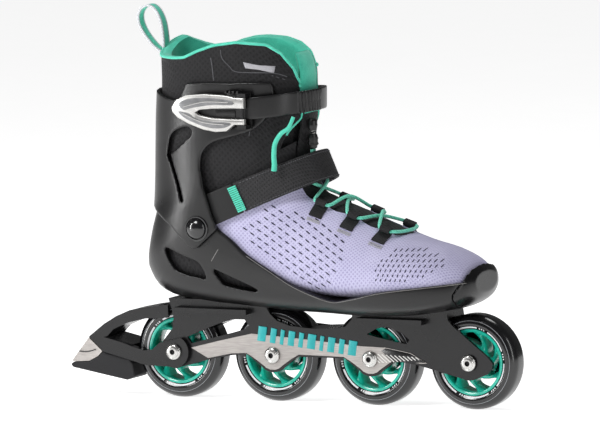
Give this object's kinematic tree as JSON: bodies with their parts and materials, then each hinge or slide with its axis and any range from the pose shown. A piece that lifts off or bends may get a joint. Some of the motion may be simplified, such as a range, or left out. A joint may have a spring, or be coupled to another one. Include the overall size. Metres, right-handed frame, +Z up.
{
  "type": "inline skate",
  "caption": "Right inline skate: wheels in line under a moulded frame, heel brake, soft lavender boot in a black shell, hinged ankle cuff with ratchet buckle, instep strap and laces.",
  "frame": {"origin": "centre of the bounding box on the floor plane that the wheels stand on", "axes": "+X towards the toe, +Y to the medial side, +Z up; the wheels roll along X and turn about Y"},
  "size_m": [0.413, 0.108, 0.3306],
  "materials": {
    "tyre_rubber": "satin black polyurethane",
    "hub_plastic": "glossy teal nylon",
    "bearing_steel": "ground",
    "spacer_steel": "turned",
    "axle_steel": "satin",
    "frame_plastic": "satin moulded black",
    "grey_trim": "satin grey",
    "shell_plastic": "satin moulded black",
    "strap_plastic": "satin black",
    "pivot_cap": "glossy black",
    "silver_lever": "silver lacquer",
    "brake_rubber": "matt black",
    "lavender_knit": "knitted lavender mesh",
    "collar_fabric": "black mesh over foam",
    "teal_plush": "brushed teal lining",
    "teal_webbing": "woven teal tape",
    "black_webbing": "woven black tape",
    "strap_fabric": "grained black strap",
    "teal_cord": "braided teal cord",
    "insole_foam": "cloth-topped foam"
  },
  "bodies": {
    "skate_body": {"frame": "frame_plastic", "frame_bolt_heel": "axle_steel", "frame_bolt_toe": "axle_steel", "frame_panel_lateral": "grey_trim", "frame_panel_medial": "grey_trim", "brake_arm": "shell_plastic", "brake_pad": "brake_rubber", "brake_tip_cap": "grey_trim", "brake_pad_screw": "axle_steel", "axle_1": "axle_steel", "axle_2": "axle_steel", "axle_3": "axle_steel", "axle_4": "axle_steel", "spacer_1": "spacer_steel", "spacer_2": "spacer_steel", "spacer_3": "spacer_steel", "spacer_4": "spacer_steel", "boot_shell": "shell_plastic", "toe_cap": "shell_plastic", "cuff_rivet_lateral": "pivot_cap", "cuff_rivet_medial": "pivot_cap", "boot_upper": "lavender_knit", "tongue": "teal_plush", "insole": "insole_foam", "instep_strap_anchor": "strap_fabric", "instep_strap": "strap_fabric", "laces": "teal_cord", "lace_loop_1_lateral": "black_webbing", "lace_loop_1_medial": "black_webbing", "lace_loop_2_lateral": "black_webbing", "lace_loop_2_medial": "black_webbing", "lace_loop_3_lateral": "black_webbing", "lace_loop_3_medial": "black_webbing", "lace_lock_body": "strap_plastic", "lace_lock_spring": "axle_steel"},
    "wheel_1": {"tyre_1": "tyre_rubber", "hub_1": "hub_plastic", "bearing_1_lateral": "bearing_steel", "bearing_1_medial": "bearing_steel"},
    "wheel_2": {"tyre_2": "tyre_rubber", "hub_2": "hub_plastic", "bearing_2_lateral": "bearing_steel", "bearing_2_medial": "bearing_steel"},
    "wheel_3": {"tyre_3": "tyre_rubber", "hub_3": "hub_plastic", "bearing_3_lateral": "bearing_steel", "bearing_3_medial": "bearing_steel"},
    "wheel_4": {"tyre_4": "tyre_rubber", "hub_4": "hub_plastic", "bearing_4_lateral": "bearing_steel", "bearing_4_medial": "bearing_steel"},
    "ankle_cuff": {"cuff": "shell_plastic", "ankle_collar": "collar_fabric", "pull_loop": "teal_webbing", "ankle_strap": "strap_plastic", "ankle_strap_screw": "axle_steel", "buckle_base": "strap_plastic", "buckle_pin": "axle_steel"},
    "lever": {"buckle_lever": "silver_lever"},
    "lock_button": {"lace_lock_button": "strap_plastic"}
  },
  "joints": [
    {"name": "wheel_1_spin", "type": "hinge", "parent": "skate_body", "child": "wheel_1", "pos_m": [-0.10625, 0.00145, 0.04], "axis": [0, 1, 0], "continuous": true},
    {"name": "wheel_2_spin", "type": "hinge", "parent": "skate_body", "child": "wheel_2", "pos_m": [-0.01525, 0.00145, 0.04], "axis": [0, 1, 0], "continuous": true},
    {"name": "wheel_3_spin", "type": "hinge", "parent": "skate_body", "child": "wheel_3", "pos_m": [0.07575, 0.00145, 0.04], "axis": [0, 1, 0], "continuous": true},
    {"name": "wheel_4_spin", "type": "hinge", "parent": "skate_body", "child": "wheel_4", "pos_m": [0.16675, 0.00145, 0.04], "axis": [0, 1, 0], "continuous": true},
    {"name": "cuff_flex", "type": "hinge", "parent": "skate_body", "child": "ankle_cuff", "pos_m": [-0.06875, 0.00145, 0.148], "axis": [0, 1, 0], "range_deg": [-3, 8], "stiffness_Nm_per_rad": 25, "deforming": ["ankle_collar", "tongue"]},
    {"name": "lever_open", "type": "hinge", "parent": "ankle_cuff", "child": "lever", "pos_m": [-0.01975, -0.05185, 0.249], "axis": [0, 0, 1], "range_deg": [0, 75]},
    {"name": "lock_press", "type": "slide", "parent": "skate_body", "child": "lock_button", "axis": [0, 0, -1], "range_m": [0, 0.003], "stiffness_N_per_m": 300, "springref_m": -0.002, "deforming": ["lace_lock_spring"]}
  ]
}
